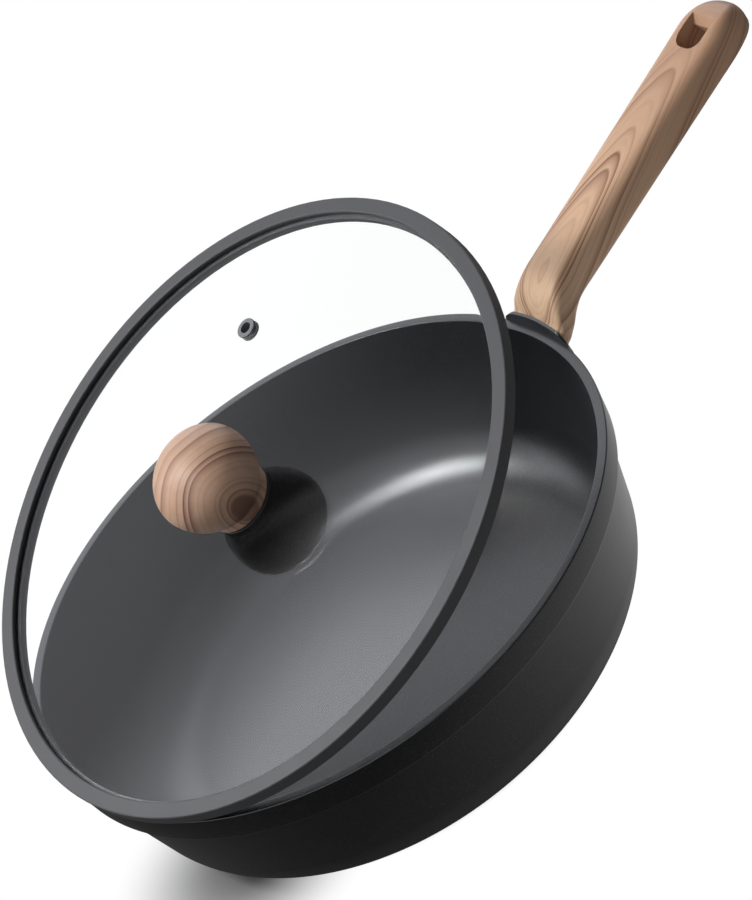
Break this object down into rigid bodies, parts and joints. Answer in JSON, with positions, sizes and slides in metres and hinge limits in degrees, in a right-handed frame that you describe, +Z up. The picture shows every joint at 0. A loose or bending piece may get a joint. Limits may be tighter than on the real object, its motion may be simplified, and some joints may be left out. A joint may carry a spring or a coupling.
{
  "type": "frying pan with lid",
  "caption": "Deep round frying pan with a thick rim collar, a rising grip with a hanging slot, and a flat glass lid with a ball knob, held tilted open on the rim.",
  "frame": {"origin": "centre of the pan's flat underside, on the surface that it stands on", "axes": "+Z up along the bowl's axis, +X from the bowl's centre to the handle, +Y to the left of the handle seen from the bowl"},
  "size_m": [0.455, 0.2931, 0.1728],
  "materials": {
    "coated_casting": "dark grey non-stick coating with fine metallic sparkle over cast aluminium, satin",
    "disc_steel": "pressed and brushed",
    "grip_wood_effect": "moulded heat-proof resin with a light wood-grain finish, satin",
    "knob_wood_effect": "moulded heat-proof resin with a light wood-grain finish, satin",
    "lid_glass": "clear toughened glass, polished",
    "seal_silicone": "dark grey silicone, satin",
    "vent_silicone": "grey silicone, satin",
    "knob_silicone": "dark grey silicone, matte",
    "screw_steel": "bright zinc",
    "insert_brass": "turned"
  },
  "bodies": {
    "pan": {"pan_body": "coated_casting", "base_disc": "disc_steel", "handle_grip": "grip_wood_effect", "handle_washer": "screw_steel", "handle_lock_washer": "screw_steel", "handle_screw": "screw_steel"},
    "lid": {"lid_glass": "lid_glass", "lid_rim_seal": "seal_silicone", "vent_grommet": "vent_silicone", "knob_ball": "knob_wood_effect", "knob_insert": "insert_brass", "knob_seal_top": "knob_silicone", "knob_seal_bottom": "knob_silicone", "knob_washer": "screw_steel", "knob_lock_washer": "screw_steel", "knob_screw": "screw_steel"}
  },
  "joints": [
    {"name": "lid_tilt", "type": "hinge", "parent": "pan", "child": "lid", "pos_m": [-0.14085, -0.03808, 0.0783], "axis": [0.2504, -0.9681, 0], "range_deg": [-17.9, 72.1]}
  ]
}
